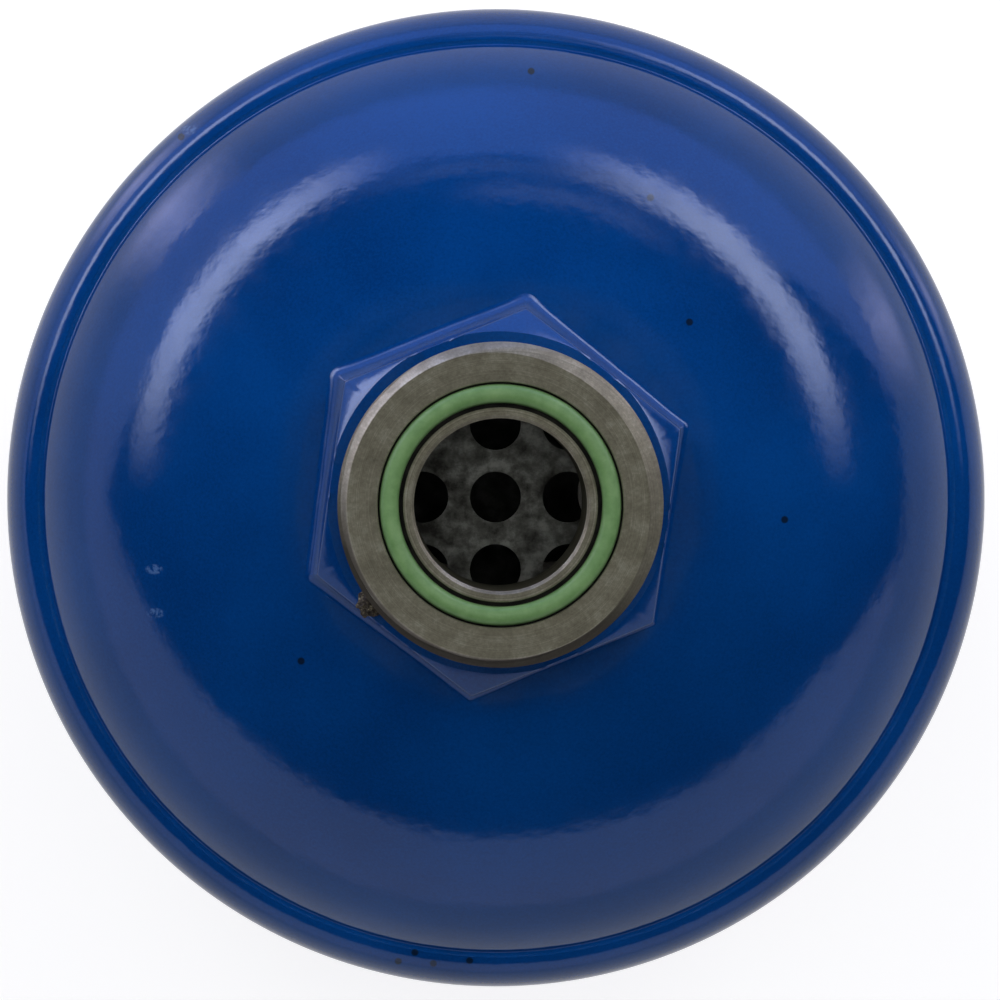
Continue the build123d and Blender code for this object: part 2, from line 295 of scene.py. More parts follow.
def blue_enamel():
    """Gloss blue enamel: fine orange peel, faint cloudiness and a few specks of dirt."""
    material, tree, shader, place = new_finish(
        "blue_enamel", IOR=1.5, Specular_Tint=(0.62, 0.80, 1.0, 1.0),
    )
    cloud = grain(tree, place, 16.0, detail=4.0)
    fleck = grain(tree, place, 0.28, roughness=0.7)
    mottle = blend(tree, (cloud, 0.5), (fleck, 0.5))
    colour = shades(tree, mottle, (0.36, ENAMEL_DEEP), (0.64, ENAMEL_LIGHT))
    dirt = marks(tree, place, SPECKS, SPECK_SIZE, SPECK_SIZE)
    rubbed = calculate(
        tree, "MULTIPLY", marks(tree, place, SCUFFS, *SCUFF_SIZE),
        spread(tree, grain(tree, place, 0.4), 0.0, 0.45, start=0.40, stop=0.62),
    )
    colour = tinted(tree, rubbed, tinted(tree, dirt, colour, SPECK), SCUFF)
    tree.links.new(colour, shader.inputs["Base Color"])
    tree.links.new(
        spread(tree, grain(tree, place, 3.0), 0.07, 0.13), shader.inputs["Roughness"]
    )
    bumped(
        tree, shader,
        (grain(tree, place, 9.0, detail=1.0), 0.5, 0.05),
        (grain(tree, place, 1.4, roughness=0.45), 0.10, 0.16),
    )
    return material


enamel = blue_enamel()

section, vert = start_outline(bore_radius, 0)
vert = line_to(section, vert, (bore_radius, half_length))
vert = arc_about(section, vert, (knuckle_centre, half_length), LIP_ANGLE, steps=12)
vert = line_to(section, vert, (lip_edge[0], half_length + lip_edge[1]))
vert = arc_about(section, vert, (lip_centre, half_length + lip_height), -lip_turn, steps=40)
line_to(section, vert, (shell_radius, 0))
bmesh.ops.mirror(
    section, geom=section.verts[:] + section.edges[:], matrix=Matrix.Identity(4),
    merge_dist=WELDED, axis="Z",
)
shift(section, 0, 0, middle)
turn(section)
finish_piece(section, "shell_skin", "shell_tube", [enamel])

# ---------------------------------------------------------------------------------------
# End caps: steel sheet pressed to a shallow crown with a tight knuckle, a flat land for
# the fitting, and a straight skirt that goes down inside the shell.  Same enamel.
CROWN_RADIUS = 55.0
CAP_WALL = 1.6
CAP_SKIRT = 12.0
LAND_BLEND = 9.0
SPIGOT_RADIUS = 11.0
SPIGOT_GAP = 0.1

inlet_end = middle + half_length
land_height = box_of("inlet_end_cap")[1].z - inlet_end
crown_centre = -sqrt((CROWN_RADIUS - KNUCKLE_RADIUS) ** 2 - knuckle_centre**2)
tangent_angle = acos(knuckle_centre / (CROWN_RADIUS - KNUCKLE_RADIUS))
blend_height = land_height - LAND_BLEND
blend_radius = sqrt((CROWN_RADIUS - LAND_BLEND) ** 2 - (blend_height - crown_centre) ** 2)
blend_angle = asin(blend_radius / (CROWN_RADIUS - LAND_BLEND))
inner_top = land_height - CAP_WALL
inner_land_angle = asin((inner_top - crown_centre) / (CROWN_RADIUS - CAP_WALL))
spigot_hole = SPIGOT_RADIUS + SPIGOT_GAP


def finish_both(form, name, node, materials, sharp=35, doubles=WELDED):
    """Make a form drawn over the shell's straight end a piece at the inlet and the outlet."""
    bmesh.ops.remove_doubles(form, verts=form.verts, dist=doubles)
    for end, side, half_turn in (("inlet", 1, 0.0), ("outlet", -1, pi)):
        copied = form.copy()
        turn_about(copied, half_turn, "X")
        shift(copied, 0, 0, middle + side * half_length)
        finish_piece(copied, f"{end}_{name}", f"{end}_{node}", materials, sharp, doubles)
    form.free()


section, first = start_outline(spigot_hole, land_height)
vert = line_to(section, first, (blend_radius, land_height))
vert = arc_about(section, vert, (blend_radius, blend_height), -blend_angle, steps=16)
crown_turn = tangent_angle - (pi / 2 - blend_angle)
vert = arc_about(section, vert, (0, crown_centre), crown_turn, steps=64)
vert = arc_about(section, vert, (knuckle_centre, 0), -tangent_angle, steps=40)
vert = line_to(
    section, vert, (cap_radius, -CAP_SKIRT), (cap_radius - CAP_WALL, -CAP_SKIRT),
    (cap_radius - CAP_WALL, 0),
)
vert = arc_about(section, vert, (knuckle_centre, 0), tangent_angle, steps=16)
vert = arc_about(section, vert, (0, crown_centre), inner_land_angle - tangent_angle, steps=24)
vert = line_to(section, vert, (spigot_hole, inner_top))
section.edges.new((vert, first))
turn(section)
finish_both(section, "cap_dome", "end_cap", [enamel])

# ---------------------------------------------------------------------------------------
# Seam welds: a thin bead run round the crease between each spun lip and its cap, then
# painted over, so that it reads as a narrow uneven hollow beside the lip.
SEAM_LEG = 0.35
SEAM_HOLLOW = SEAM_LEG / 4  # where the bead's face is pulled to
SEAM_WOBBLE = 0.03
SEAM_RIPPLE = 2.5  # length of the bead's ripples


def curve_to(section, vert, pull, end, steps):
    """Draw a bent line of the half-section that leans towards the pull point."""
    start = (vert.co.x, vert.co.z)
    for step in range(1, steps + 1):
        t = step / steps
        point = [
            (1 - t) ** 2 * a + 2 * t * (1 - t) * b + t**2 * c
            for a, b, c in zip(start, pull, end)
        ]
        vert = line_to(section, vert, point)
    return vert


def on_knuckle(reach, angle):
    """The (radius, height) at a reach and an angle about the knuckle's centre."""
    return knuckle_centre + reach * cos(angle), reach * sin(angle)


section, first = start_outline(*on_knuckle(KNUCKLE_RADIUS, LIP_ANGLE))
vert = line_to(section, first, on_knuckle(KNUCKLE_RADIUS + CAP_GAP + SEAM_LEG, LIP_ANGLE))
vert = curve_to(
    section, vert,
    on_knuckle(KNUCKLE_RADIUS + SEAM_HOLLOW, LIP_ANGLE + SEAM_HOLLOW / KNUCKLE_RADIUS),
    on_knuckle(KNUCKLE_RADIUS, LIP_ANGLE + SEAM_LEG / KNUCKLE_RADIUS), steps=8,
)
section.edges.new((vert, first))
turn(section)
for vert in section.verts:
    grown = 1 + SEAM_WOBBLE * noise.noise(vert.co / SEAM_RIPPLE) / shell_radius
    vert.co.x *= grown
    vert.co.y *= grown
finish_both(section, "seam_bead", "seam_weld", [enamel], sharp=60)

# ---------------------------------------------------------------------------------------
# Fittings: turned from hexagon bar with a 12-per-inch unified thread, a face groove for
# the O-ring and a plain port.  The thread and face stay bare steel; the hexagon is
# painted with the shell.
THREAD_LENGTH = 16.0
THREAD_RADIUS = 15.08
THREAD_PITCH = 25.4 / 12
THREAD_DEPTH = 0.6134 * THREAD_PITCH  # of a unified external thread
THREAD_FLANK = radians(30)
THREAD_RELIEF = 2.4
RELIEF_RADIUS = 13.5
RELIEF_FILLET = 0.3
FACE_RADIUS = 14.2
LEAD_ANGLE = radians(40)
PORT_RADIUS = 8.0
PORT_BREAK = 0.3
HEX_TURN = radians(21.9)
HEX_RADIUS = 16.0  # to the middle of a flat
HEX_FACE = 1.005 * HEX_RADIUS  # to the edge of the flat ring inside the chamfer
HEX_OUTLINE = HEX_RADIUS / cos(pi / 6)  # to a corner
HEX_CHAMFER = radians(37.2)
HEX_LEAN = radians(1.2)  # how much steeper and shallower the chamfer runs round it
HEX_STEEP_SIDE = radians(100)
HEX_EDGE = 0.22  # paint-rounded edges of the hexagon
HEX_CORNER = radians(25)  # edges that turn further than this are rounded
SPIGOT_REACH = 1.5
GROOVE_INSIDE = 9.0
GROOVE_OUTSIDE = 11.35
GROOVE_DEPTH = 1.33
GROOVE_MARGIN = 0.01  # beyond its walls, in telling its faces from the rest
PAINTED, SHADED_GROOVE = 1, 2  # the fitting's material slots beside its bare steel
EDGE_BREAK = 0.08  # on the turned edges
FITTING_TURNS = 240
ON_LINE = 1e-3  # vertices nearer than this to a line or a plane lie on it
GROOVE_SHADE_BLACK = (0.004, 0.004, 0.004)
GROOVE_SHADE_BROWN = (0.014, 0.013, 0.011)
STEEL_DARK = (0.105, 0.095, 0.062)
STEEL_DULL = (0.235, 0.225, 0.158)
STEEL_WORN = (0.44, 0.43, 0.34)
OIL_AND_SHADE = (0.030, 0.024, 0.014)  # painted shade mixed with old oil, on the side of the thread and its lead chamfer away from the lamps
OIL_AND_SHADE_COVER = 0.8
SHADED_SIDE = (-0.25, -0.97, 0.0)
OIL_AND_SHADE_REACH = (5.0, 12.0)  # where it begins and where it is full, towards that side
OIL_AND_SHADE_PATCHES = 8.0  # how far the stains shift that
OIL_AND_SHADE_EDGE = 0.15

reach = box_of("inlet_fitting")[1].z - inlet_end
hex_top = reach - THREAD_LENGTH
relief_depth = THREAD_RADIUS - RELIEF_RADIUS
thread_start = hex_top + THREAD_RELIEF - relief_depth


def hexagon_reach(angle):
    """Distance from the axis to the hexagon's side, in the direction of the angle."""
    return HEX_RADIUS / cos((angle - HEX_TURN) % (pi / 3) - pi / 6)


def on_hexagon(vert):
    """Whether a vertex lies on the hexagon's sides."""
    side = hexagon_reach(atan2(vert.co.y, vert.co.x))
    return abs(hypot(vert.co.x, vert.co.y) - side) < ON_LINE


def once(parts):
    """Each of the parts once, in the order in which they come."""
    return list(dict.fromkeys(parts))


def cut_thread(form):
    """Screw one pitch of the thread's section up the fitting; returns its vertices."""
    flank = THREAD_DEPTH * tan(THREAD_FLANK)
    crest = THREAD_PITCH / 8
    root = THREAD_PITCH - crest - 2 * flank
    valley = THREAD_RADIUS - THREAD_DEPTH
    before = set(form.verts)
    vert = form.verts.new((valley, 0, thread_start - THREAD_PITCH))
    height = vert.co.z
    for rise, radius, steps in (
        (root, valley, 4), (flank, THREAD_RADIUS, 8), (crest, THREAD_RADIUS, 3),
        (flank, valley, 8),
    ):
        start = vert.co.x
        for step in range(1, steps + 1):
            share = step / steps
            vert = line_to(
                form, vert, (start + (radius - start) * share, height + rise * share)
            )
        height += rise
    profile = [v for v in form.verts if v not in before]
    bmesh.ops.spin(
        form, geom=profile + once(e for v in profile for e in v.link_edges),
        cent=(0, 0, 0), axis=(0, 0, 1), dvec=(0, 0, THREAD_PITCH / FITTING_TURNS),
        angle=2 * pi, steps=FITTING_TURNS,
    )
    one_turn = [v for v in form.verts if v not in before]
    one_turn += once(f for v in one_turn for f in v.link_faces)
    for lift in range(1, int((reach - thread_start) / THREAD_PITCH) + 2):
        copied = bmesh.ops.duplicate(form, geom=one_turn)["geom"]
        bmesh.ops.translate(
            form, verts=kind_of(copied, bmesh.types.BMVert), vec=(0, 0, lift * THREAD_PITCH)
        )
    return [v for v in form.verts if v not in before]


def turned_steel():
    """Bare turned steel, gone dull: fine rings of the tool, stains and light scratches, with
    painted shade and old oil darkening the side away from the lamps.
    """
    material, tree, shader, place = new_finish("turned_steel", Metallic=0.65, IOR=2.2)
    radius = from_axis(tree, place)
    height = add_node(tree, "ShaderNodeSeparateXYZ", {"Vector": place}).outputs["Z"]
    along = calculate(tree, "ADD", radius, height)
    rings = add_node(
        tree, "ShaderNodeTexNoise",
        {"W": along, "Scale": 7.0, "Detail": 3.0, "Roughness": 0.7}, noise_dimensions="1D",
    ).outputs["Fac"]
    stain = grain(tree, place, 2.6, detail=5.0, roughness=0.6)
    pits = grain(tree, place, 0.30, detail=3.0, roughness=0.7)
    tone = blend(tree, (stain, 0.40), (rings, 0.30), (pits, 0.30))
    colour = shades(tree, tone, (0.30, STEEL_DARK), (0.50, STEEL_DULL), (0.68, STEEL_WORN))
    # Painted shade mixed with old oil darkens the thread and its lead chamfer on the side away
    # from the lamps.
    toward_shade = vector_math(tree, "DOT_PRODUCT", place, SHADED_SIDE)
    toward_shade = calculate(tree, "MULTIPLY_ADD", stain, OIL_AND_SHADE_PATCHES, toward_shade)
    oil_and_shade = calculate(
        tree, "MULTIPLY", spread(tree, toward_shade, 0.0, OIL_AND_SHADE_COVER, *OIL_AND_SHADE_REACH),
        spread(tree, radius, 0.0, 1.0, FACE_RADIUS, FACE_RADIUS + OIL_AND_SHADE_EDGE),
    )
    colour = tinted(tree, oil_and_shade, colour, OIL_AND_SHADE)
    tree.links.new(colour, shader.inputs["Base Color"])
    tree.links.new(spread(tree, stain, 0.50, 0.34), shader.inputs["Roughness"])
    bumped(tree, shader, (pits, 0.06, 0.35), (rings, 0.03, 0.5))
    return material


def groove_shade_steel():
    """Bottom and sides of the groove, painted near black as shade."""
    material, tree, shader, place = new_finish("groove_shade_steel", Roughness=0.4)
    colour_by(tree, shader, grain(tree, place, 1.0), (0.3, GROOVE_SHADE_BLACK), (0.7, GROOVE_SHADE_BROWN))
    return material


groove_floor = reach - GROOVE_DEPTH
section, vert = start_outline(RELIEF_RADIUS, thread_start)
vert = line_to(
    section, vert, (RELIEF_RADIUS, hex_top + RELIEF_FILLET),
    (RELIEF_RADIUS + RELIEF_FILLET, hex_top), (HEX_FACE, hex_top), (HEX_OUTLINE, hex_top),
    (HEX_OUTLINE, land_height), (SPIGOT_RADIUS, land_height),
    (SPIGOT_RADIUS, inner_top - SPIGOT_REACH),
    (PORT_RADIUS, inner_top - SPIGOT_REACH), (PORT_RADIUS, reach - PORT_BREAK),
    (PORT_RADIUS + PORT_BREAK, reach), (GROOVE_INSIDE - EDGE_BREAK, reach),
    (GROOVE_INSIDE, reach - EDGE_BREAK), (GROOVE_INSIDE, groove_floor),
    (GROOVE_OUTSIDE, groove_floor), (GROOVE_OUTSIDE, reach - EDGE_BREAK),
    (GROOVE_OUTSIDE + EDGE_BREAK, reach), ((GROOVE_OUTSIDE + FACE_RADIUS) / 2, reach),
)
turn(section, FITTING_TURNS)
turn_about(section, HEX_TURN)
for vert in section.verts:
    radius, angle = hypot(vert.co.x, vert.co.y), atan2(vert.co.y, vert.co.x)
    side = hexagon_reach(angle)
    if abs(radius - HEX_OUTLINE) < ON_LINE:
        if vert.co.z > hex_top - ON_LINE:
            slope = HEX_CHAMFER + HEX_LEAN * cos(angle - HEX_STEEP_SIDE)
            vert.co.z -= max(0.0, side - HEX_FACE) * tan(slope)
        vert.co.x, vert.co.y = side * cos(angle), side * sin(angle)
    elif abs(radius - HEX_FACE) < ON_LINE:
        side = min(side, HEX_FACE)
        vert.co.x, vert.co.y = side * cos(angle), side * sin(angle)
for face in section.faces:
    centre = face.calc_center_median()
    out = hypot(*centre.xy)
    if land_height - ON_LINE < centre.z < thread_start and out > RELIEF_RADIUS - RELIEF_FILLET:
        face.material_index = PAINTED
    # The groove's faces get the near-black steel that paints its shade.
    elif groove_floor - ON_LINE < centre.z < reach - EDGE_BREAK / 2:
        if GROOVE_INSIDE - GROOVE_MARGIN < out < GROOVE_OUTSIDE + GROOVE_MARGIN:
            face.material_index = SHADED_GROOVE

thread = cut_thread(section)
bmesh.ops.remove_doubles(section, verts=thread, dist=ON_LINE)
thread = [v for v in thread if v.is_valid]
for vert in thread:
    radius = hypot(vert.co.x, vert.co.y)
    lead = FACE_RADIUS + (reach - vert.co.z) / tan(LEAD_ANGLE)
    shoulder = RELIEF_RADIUS + (vert.co.z - thread_start)
    kept = min(radius, lead, shoulder)
    vert.co.x *= kept / radius
    vert.co.y *= kept / radius
for height, up in ((thread_start, -1), (reach, 1)):
    around = set(thread)
    part = [f for f in section.faces if all(v in around for v in f.verts)]
    edges = once(e for f in part for e in f.edges)
    verts = once(v for f in part for v in f.verts)
    cut = bmesh.ops.bisect_plane(
        section, geom=part + edges + verts, dist=1e-5, plane_co=(0, 0, height),
        plane_no=(0, 0, up), clear_outer=True,
    )["geom_cut"]
    thread = [v for v in thread if v.is_valid] + kind_of(cut, bmesh.types.BMVert)
    rims = [
        e for e in section.edges
        if e.is_boundary and all(abs(v.co.z - height) < ON_LINE for v in e.verts)
    ]
    bmesh.ops.bridge_loops(section, edges=rims)

bmesh.ops.remove_doubles(section, verts=section.verts, dist=WELDED)
corners = [
    e for e in section.edges
    if len(e.link_faces) == 2 and e.calc_face_angle() > HEX_CORNER
    and all(on_hexagon(v) for v in e.verts)
    and max(v.co.z for v in e.verts) > land_height + ON_LINE
]
bmesh.ops.bevel(
    section, geom=corners, offset=HEX_EDGE, offset_type="OFFSET", affect="EDGES",
    segments=3, profile=0.5, material=-1,
)
finish_both(
    section, "connector", "fitting",
    [turned_steel(), enamel, groove_shade_steel()], sharp=28,
)

# ---------------------------------------------------------------------------------------
# Fitting brazes: filler that ran into the corner between each hexagon and its cap and
# set as a hollow fillet, wider on one side than the other, then painted.
BRAZE_LEG = 1.03
BRAZE_HEIGHT = 1.05
BRAZE_HOLLOW = (0.45, 0.31)  # where the fillet's face is pulled to, as shares of both
BRAZE_LEAN = 0.50  # how much wider and narrower the fillet runs
BRAZE_WIDE_SIDE = radians(125)
BRAZE_RIPPLE = 0.08
RIPPLE_LENGTH = 4.0
BRAZE_SINK = 0.01  # let into the cap, so that no gap shows
FLAT_STEPS = 24  # along each side of the hexagon

half_flat = HEX_RADIUS * tan(pi / 6)


def nearest_on_hexagon(x, y):
    """The point of the hexagon's outline nearest to a place outside it."""
    side = (atan2(y, x) - HEX_TURN) // (pi / 3)
    normal = HEX_TURN + (side + 0.5) * pi / 3
    along = max(-half_flat, min(half_flat, -x * sin(normal) + y * cos(normal)))
    return Vector((
        HEX_RADIUS * cos(normal) - along * sin(normal),
        HEX_RADIUS * sin(normal) + along * cos(normal), 0,
    ))


def cap_height(radius):
    """Height of the cap's outside over the shell's straight end."""
    if radius <= blend_radius:
        return land_height
    return blend_height + sqrt(LAND_BLEND**2 - (radius - blend_radius) ** 2)


section, first = start_outline(HEX_RADIUS, land_height)
vert = line_to(section, first, (HEX_RADIUS, land_height + BRAZE_HEIGHT))
vert = curve_to(
    section, vert,
    (HEX_RADIUS + BRAZE_HOLLOW[0] * BRAZE_LEG, land_height + BRAZE_HOLLOW[1] * BRAZE_HEIGHT),
    (HEX_RADIUS + BRAZE_LEG, land_height), steps=10,
)
section.edges.new((vert, first))
shift(section, 0, -half_flat, 0)
geometry = section.verts[:] + section.edges[:]
for side in range(6):
    normal = side * pi / 3
    along = Vector((-sin(normal), cos(normal), 0)) * half_flat * 2 / FLAT_STEPS
    for _ in range(FLAT_STEPS):
        geometry = bmesh.ops.extrude_edge_only(
            section, edges=kind_of(geometry, bmesh.types.BMEdge)
        )["geom"]
        bmesh.ops.translate(
            section, verts=kind_of(geometry, bmesh.types.BMVert), vec=along
        )
    corner = Matrix.Rotation(normal, 3, "Z") @ Vector((HEX_RADIUS, half_flat, 0))
    geometry = bmesh.ops.spin(
        section, geom=kind_of(geometry, (bmesh.types.BMVert, bmesh.types.BMEdge)),
        cent=corner, axis=(0, 0, 1), angle=pi / 3, steps=8,
    )["geom_last"]
turn_about(section, HEX_TURN + pi / 6)
for vert in section.verts:
    near = nearest_on_hexagon(vert.co.x, vert.co.y)
    out = Vector((vert.co.x, vert.co.y, 0)) - near
    lean = cos(atan2(vert.co.y, vert.co.x) - BRAZE_WIDE_SIDE)
    grown = 1 + BRAZE_LEAN * lean + BRAZE_RIPPLE * noise.noise(near / RIPPLE_LENGTH)
    rise = (vert.co.z - land_height) * grown
    vert.co.x, vert.co.y = near.x + out.x * grown, near.y + out.y * grown
    vert.co.z = cap_height(hypot(vert.co.x, vert.co.y)) + rise - BRAZE_SINK
finish_both(
    section, "braze_fillet", "fitting_braze", [enamel], sharp=60,
    doubles=ON_LINE,
)

# ---------------------------------------------------------------------------------------
# Spatter: one crumb of welding spatter and dirt that stuck beside the inlet's thread, on
# the hexagon's top, and was left there.
SPATTER_PLACE = (15.3, radians(217.5))  # from the axis, and round it
SPATTER_TURN = 0.6  # how far its long side is turned from that direction
SPATTER_SIZE = (1.45, 1.10, 0.85)
SPATTER_RISE = 0.6  # of its middle over the hexagon, as a share of its height
LUMP_SIZE = 0.8
LUMP_HEIGHT = 0.35
LUMP_FADE, LUMP_GAP, LUMP_LAYERS = 0.8, 2.0, 4  # of the finer lumps on the coarse ones
CRUST_BLACK = (0.014, 0.011, 0.008)
CRUST_BROWN = (0.065, 0.055, 0.035)
CRUST_SAND = (0.26, 0.24, 0.17)


def burnt_crust():
    """Burnt crust: dark brown with sandy lighter crumbs."""
    material, tree, shader, place = new_finish("burnt_crust", Roughness=0.8)
    crumb = grain(tree, place, 0.35, detail=4.0, roughness=0.7)
    colour_by(
        tree, shader, crumb, (0.44, CRUST_BLACK), (0.58, CRUST_BROWN), (0.70, CRUST_SAND)
    )
    bumped(tree, shader, (crumb, 0.15, 0.7))
    return material


crumb = bmesh.new()
bmesh.ops.create_icosphere(crumb, subdivisions=5, radius=1.0)
for vert in crumb.verts:
    lump = noise.fractal(vert.co / LUMP_SIZE, LUMP_FADE, LUMP_GAP, LUMP_LAYERS)
    vert.co *= 1 + LUMP_HEIGHT * lump
bmesh.ops.scale(crumb, verts=crumb.verts, vec=SPATTER_SIZE)
out, around = SPATTER_PLACE
turn_about(crumb, around + SPATTER_TURN)
shift(
    crumb, out * cos(around), out * sin(around),
    inlet_end + hex_top + SPATTER_RISE * SPATTER_SIZE[2],
)
finish_piece(crumb, "inlet_spatter", None, [burnt_crust()], sharp=60)

# ---------------------------------------------------------------------------------------
# O-rings: green nitrile rubber, lying in the face groove of each fitting and standing a
# little proud of it.
O_RING_BORE = 18.77
O_RING_SECTION = 1.78
O_RING_RADIUS = (O_RING_BORE + O_RING_SECTION) / 2  # to the middle of its section
O_RING_PROUD = 0.45
RUBBER_GREEN = (0.085, 0.180, 0.060)
RUBBER_DUSTY = (0.130, 0.240, 0.092)


def green_rubber():
    """Matt green rubber with faint dust and a fine moulded skin."""
    material, tree, shader, place = new_finish("green_rubber", Roughness=0.42, IOR=1.5)
    dust = grain(tree, place, 1.2, detail=4.0, roughness=0.6)
    colour_by(tree, shader, dust, (0.3, RUBBER_GREEN), (0.7, RUBBER_DUSTY))
    bumped(tree, shader, (grain(tree, place, 0.25), 0.03, 0.3))
    return material


height = reach + O_RING_PROUD - O_RING_SECTION / 2
section, vert = start_outline(O_RING_RADIUS + O_RING_SECTION / 2, height)
bmesh.ops.spin(
    section, geom=[vert], cent=(O_RING_RADIUS, 0, height), axis=(0, -1, 0),
    angle=2 * pi, steps=40, use_merge=True,
)
turn(section, FITTING_TURNS)
finish_both(section, "seal_ring", "o_ring", [green_rubber()], sharp=60)

# ---------------------------------------------------------------------------------------
# Plates: pressed and punched steel sheet, oiled and darkened; one seats the spring at
# the inlet, one carries its push to the core, and one holds the stack at the outlet.
SHEET_OILY = Vector((0.060, 0.058, 0.050))
SHEET_GREY = Vector((0.21, 0.215, 0.190))
SHEET_WORN = Vector((0.46, 0.47, 0.43))
BLACKENED = 0.12  # the pressure plate's lightness beside the others


def dress(node, material):
    """Give a CAD node its finish."""
    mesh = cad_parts[node].data
    mesh.materials.clear()
    mesh.materials.append(material)


def oiled_steel(name, light):
    """Oiled sheet: mottled scale with worn lighter patches, more or less blackened."""
    material, tree, shader, place = new_finish(name, Metallic=0.3, IOR=1.8)
    scale = grain(tree, place, 2.2, detail=5.0, roughness=0.65)
    colour_by(
        tree, shader, scale, (0.36, SHEET_OILY * light), (0.50, SHEET_GREY * light),
        (0.64, SHEET_WORN * light),
    )
    tree.links.new(spread(tree, scale, 0.55, 0.35), shader.inputs["Roughness"])
    bumped(tree, shader, (scale, 0.05, 0.4))
    return material


sheet_steel = oiled_steel("oiled_steel", 1.0)
dress("inlet_perforated_plate", sheet_steel)
dress("outlet_perforated_plate", sheet_steel)
dress("pressure_plate", oiled_steel("blackened_steel", BLACKENED))

# ---------------------------------------------------------------------------------------
# Spring: hard-drawn wire coiled open, with both ends ground flat and the wire left with
# its dark skin.  It sits between two plates and presses the core to the outlet.
WIRE_DARK = (0.10, 0.095, 0.085)
WIRE_GREY = (0.26, 0.25, 0.235)


def spring_wire():
    """Drawn wire: even grey-brown skin with faint draw lines."""
    material, tree, shader, place = new_finish("spring_wire", Metallic=0.9, IOR=2.0)
    skin = grain(tree, place, 0.8, detail=4.0)
    colour_by(tree, shader, skin, (0.3, WIRE_DARK), (0.7, WIRE_GREY))
    tree.links.new(spread(tree, skin, 0.45, 0.30), shader.inputs["Roughness"])
    bumped(tree, shader, (skin, 0.03, 0.3))
    return material


dress("compression_spring", spring_wire())

# ---------------------------------------------------------------------------------------
# Filter pads and side seal: discs and a band of pressed white polyester felt, soft at
# their cut edges and matted flat on their faces.
PAD_EDGE = 0.25  # rounding at the rim, as a share of the pad's height
PAD_TURNS = 96
PAD_RINGS = 12  # steps from the middle of a pad to its rim
FELT_UNEVEN = 0.12
FELT_PATCH = 7.0  # size of its uneven places
FELT_YELLOWED = (0.56, 0.54, 0.48)
FELT_WHITE = (0.80, 0.79, 0.74)


def pressed_felt():
    """White polyester felt: matted fibres, slightly yellow, with no gloss."""
    material, tree, shader, place = new_finish(
        "pressed_felt", Roughness=0.95, Sheen_Weight=0.25, Sheen_Roughness=0.6,
    )
    stretched = add_node(
        tree, "ShaderNodeMapping", {"Vector": place, "Scale": (1.0, 1.0, 5.0)}
    ).outputs["Vector"]
    fibre = add_node(
        tree, "ShaderNodeTexNoise",
        {"Vector": stretched, "Scale": 2.2, "Detail": 6.0, "Roughness": 0.75,
         "Distortion": 2.5},
    ).outputs["Fac"]
    mat = grain(tree, place, 6.0)
    tone = blend(tree, (fibre, 0.5), (mat, 0.5))
    colour_by(tree, shader, tone, (0.35, FELT_YELLOWED), (0.65, FELT_WHITE))
    bumped(tree, shader, (fibre, 0.25, 0.6))
    return material


felt = pressed_felt()
for end in ("inlet", "outlet"):
    low, high = box_of(f"{end}_filter_pad")
    rim, edge = high.x, PAD_EDGE * (high.z - low.z)
    flat = rim - edge
    section, vert = start_outline(0, low.z)
    rings = [flat * step / PAD_RINGS for step in range(PAD_RINGS + 1)]
    vert = line_to(section, vert, *((ring, low.z) for ring in rings[1:]))
    vert = arc_about(section, vert, (flat, low.z + edge), pi / 2, steps=6)
    vert = line_to(section, vert, (rim, high.z - edge))
    vert = arc_about(section, vert, (flat, high.z - edge), pi / 2, steps=6)
    line_to(section, vert, *((ring, high.z) for ring in reversed(rings[:-1])))
    turn(section, PAD_TURNS)
    for vert in section.verts:
        sink = abs(FELT_UNEVEN * noise.noise(vert.co / FELT_PATCH))
        if abs(vert.co.z - high.z) < ON_LINE:
            vert.co.z -= sink
        elif abs(vert.co.z - low.z) > ON_LINE:
            vert.co.x *= 1 - sink / rim
            vert.co.y *= 1 - sink / rim
    finish_piece(
        section, f"{end}_felt_disc", f"{end}_filter_pad", [felt], sharp=60
    )
dress("core_side_seal", felt)

# ---------------------------------------------------------------------------------------
# Core: molecular sieve and alumina beads moulded with a binder to one porous block, on a
# gasket of pressed fibre sheet.
CORE_PIT_SHADE = (0.24, 0.20, 0.15)
CORE_SAND = (0.56, 0.50, 0.41)
CORE_PALE = (0.70, 0.65, 0.56)
FIBRE_DARK = (0.20, 0.18, 0.15)
FIBRE_PALE = (0.42, 0.39, 0.34)


def porous_core():
    """Moulded beads: sandy and quite matt, pitted between the grains, with painted shade in
    the pits.
    """
    material, tree, shader, place = new_finish("porous_core", Roughness=0.95)
    beads = add_node(
        tree, "ShaderNodeTexVoronoi", {"Vector": place, "Scale": 1.1, "Randomness": 0.9}
    )
    # Painted shade: darker where the bump sinks between the grains.
    shade = spread(tree, beads.outputs["Distance"], 1.0, 0.0, start=0.1, stop=0.75)
    tone = blend(tree, (shade, 0.6), (grain(tree, place, 9.0, detail=3.0), 0.4))
    colour_by(tree, shader, tone, (0.20, CORE_PIT_SHADE), (0.55, CORE_SAND), (0.85, CORE_PALE))
    bumped(tree, shader, (shade, 0.35, 0.8))
    return material


def fibre_sheet():
    """Pressed fibre sheet: grey-brown, flecked and slightly hairy."""
    material, tree, shader, place = new_finish("fibre_sheet", Roughness=0.9)
    fleck = grain(tree, place, 0.7, detail=5.0, roughness=0.75)
    colour_by(tree, shader, fleck, (0.35, FIBRE_DARK), (0.65, FIBRE_PALE))
    bumped(tree, shader, (fleck, 0.08, 0.5))
    return material


dress("desiccant_core", porous_core())
dress("core_gasket", fibre_sheet())

# ---------------------------------------------------------------------------------------
# Outlet screen: a disc of fine plain-woven stainless wire cloth, cut out and laid on the
# outlet plate, where it holds back the pad's loose fibres.
WIRE_SPACING = 0.5
OPENING_SHADE = (0.02, 0.02, 0.02)
WIRE_BRIGHT = (0.52, 0.52, 0.50)


